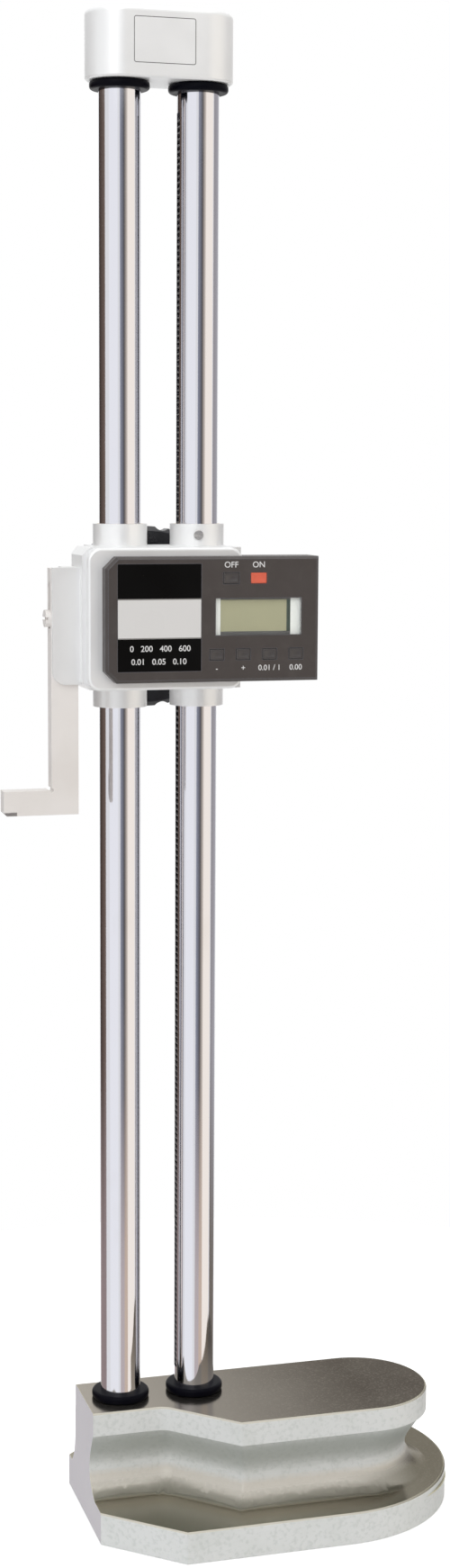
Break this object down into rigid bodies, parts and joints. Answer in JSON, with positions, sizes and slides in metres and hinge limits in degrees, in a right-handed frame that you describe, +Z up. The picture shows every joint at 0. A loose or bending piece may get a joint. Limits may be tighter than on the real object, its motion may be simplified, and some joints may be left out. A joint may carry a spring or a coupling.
{
  "type": "height gauge",
  "caption": "Free-standing digital height gauge: ground columns on a heavy waisted base, a rack-driven carriage with a display unit and an L-shaped scriber.",
  "frame": {"origin": "midway between the columns on the plane that the base stands on", "axes": "+Z up the columns, +X along the base towards its round tail, -Y towards the user and the display"},
  "size_m": [0.2546, 0.152, 0.807],
  "materials": {
    "casting": "hammered paint",
    "ground_steel": "ground",
    "chrome_column": "ground chrome",
    "rack_steel": "oiled",
    "rubber": "gloss",
    "silver_casting": "satin",
    "bronze": "turned",
    "black_plastic": "gloss",
    "panel": "textured",
    "label": "printed",
    "glass": "clear",
    "lcd": "display",
    "white_plastic": "satin",
    "board": "solder mask",
    "key_black": "satin",
    "key_red": "satin",
    "screw_steel": "turned",
    "black_oxide": "black oxide",
    "scriber_steel": "ground",
    "carbide": "ground",
    "battery_steel": "plated"
  },
  "bodies": {
    "stand": {"base_casting": "casting", "column_bolts": "black_oxide", "column_left": "chrome_column", "column_right": "chrome_column", "rack": "rack_steel", "lower_bumper_left": "rubber", "lower_bumper_right": "rubber", "upper_bumper_left": "rubber", "upper_bumper_right": "rubber", "top_cap": "silver_casting", "cap_screws": "black_oxide"},
    "carriage": {"carriage_body": "silver_casting", "guide_bush_upper_left": "bronze", "guide_bush_upper_right": "bronze", "guide_bush_lower_left": "bronze", "guide_bush_lower_right": "bronze", "sleeve_screw": "screw_steel", "shaft_bush_front": "bronze", "shaft_bush_rear": "bronze", "bearing_housing": "silver_casting", "bearing_housing_screws": "screw_steel", "encoder_bush_rear": "bronze", "encoder_bearing_plug": "bronze", "encoder_reader": "black_plastic", "flat_cable": "white_plastic", "display_bezel": "silver_casting", "display_housing": "panel", "label_plate": "label", "lcd_window": "glass", "lcd_frame": "white_plastic", "lcd_cell": "lcd", "circuit_board": "board", "housing_cover": "panel", "housing_cover_screws": "black_oxide", "battery": "battery_steel", "scriber_holder": "silver_casting", "holder_screws": "black_oxide"},
    "drive": {"drive_pinion": "screw_steel", "drive_shaft": "screw_steel", "handwheel": "black_plastic", "wheel_nut": "black_oxide", "crank_pin": "screw_steel"},
    "crank": {"crank_knob": "black_plastic"},
    "encoder": {"encoder_pinion_shaft": "bronze", "encoder_disc": "screw_steel"},
    "lock": {"lock_knob": "black_oxide", "lock_tip": "bronze"},
    "battery_lid": {"battery_cover": "panel"},
    "scriber_arm": {"scriber": "scriber_steel", "scriber_tip": "carbide"},
    "scriber_clamp": {"clamp_screw": "black_oxide"},
    "units_key": {"key_units": "key_black"},
    "power_key": {"key_power": "key_red"},
    "minus_key": {"key_minus": "key_black"},
    "plus_key": {"key_plus": "key_black"},
    "mode_key": {"key_mode": "key_black"},
    "zero_key": {"key_zero": "key_black"}
  },
  "joints": [
    {"name": "carriage_slide", "type": "slide", "parent": "stand", "child": "carriage", "axis": [0, 0, 1], "range_m": [-0.3785, 0.2215]},
    {"name": "handwheel_turn", "type": "hinge", "parent": "carriage", "child": "drive", "pos_m": [0.0025, 0, 0.4945], "axis": [0, 1, 0], "range_deg": [-2412, 1412]},
    {"name": "crank_spin", "type": "hinge", "parent": "drive", "child": "crank", "pos_m": [0.0385, 0.04, 0.4945], "axis": [0, 1, 0], "continuous": true},
    {"name": "encoder_turn", "type": "hinge", "parent": "carriage", "child": "encoder", "pos_m": [0.0025, 0, 0.51649], "axis": [0, 1, 0], "range_deg": [-2412, 1412]},
    {"name": "lock_turn", "type": "hinge", "parent": "carriage", "child": "lock", "pos_m": [0.04, 0, 0.4875], "axis": [1, 0, 0], "range_deg": [0, 90]},
    {"name": "battery_cover_turn", "type": "hinge", "parent": "carriage", "child": "battery_lid", "pos_m": [0.056, -0.03, 0.4975], "axis": [0, 1, 0], "range_deg": [0, 45]},
    {"name": "scriber_slide", "type": "slide", "parent": "carriage", "child": "scriber_arm", "axis": [0, 0, 1], "range_m": [-0.0162, 0.0026]},
    {"name": "clamp_screw_turn", "type": "hinge", "parent": "carriage", "child": "scriber_clamp", "pos_m": [-0.06, -0.0205, 0.4975], "axis": [1, 0, 0], "range_deg": [0, 180]},
    {"name": "units_key_press", "type": "slide", "parent": "carriage", "child": "units_key", "axis": [0, 1, 0], "range_m": [0, 0.0008], "stiffness_N_per_m": 500},
    {"name": "power_key_press", "type": "slide", "parent": "carriage", "child": "power_key", "axis": [0, 1, 0], "range_m": [0, 0.0008], "stiffness_N_per_m": 500},
    {"name": "minus_key_press", "type": "slide", "parent": "carriage", "child": "minus_key", "axis": [0, 1, 0], "range_m": [0, 0.0008], "stiffness_N_per_m": 500},
    {"name": "plus_key_press", "type": "slide", "parent": "carriage", "child": "plus_key", "axis": [0, 1, 0], "range_m": [0, 0.0008], "stiffness_N_per_m": 500},
    {"name": "mode_key_press", "type": "slide", "parent": "carriage", "child": "mode_key", "axis": [0, 1, 0], "range_m": [0, 0.0008], "stiffness_N_per_m": 500},
    {"name": "zero_key_press", "type": "slide", "parent": "carriage", "child": "zero_key", "axis": [0, 1, 0], "range_m": [0, 0.0008], "stiffness_N_per_m": 500}
  ],
  "couplings": [
    {"joint": "handwheel_turn", "follows": "carriage_slide", "rad_per_m": 111.11},
    {"joint": "encoder_turn", "follows": "carriage_slide", "rad_per_m": 111.11}
  ]
}
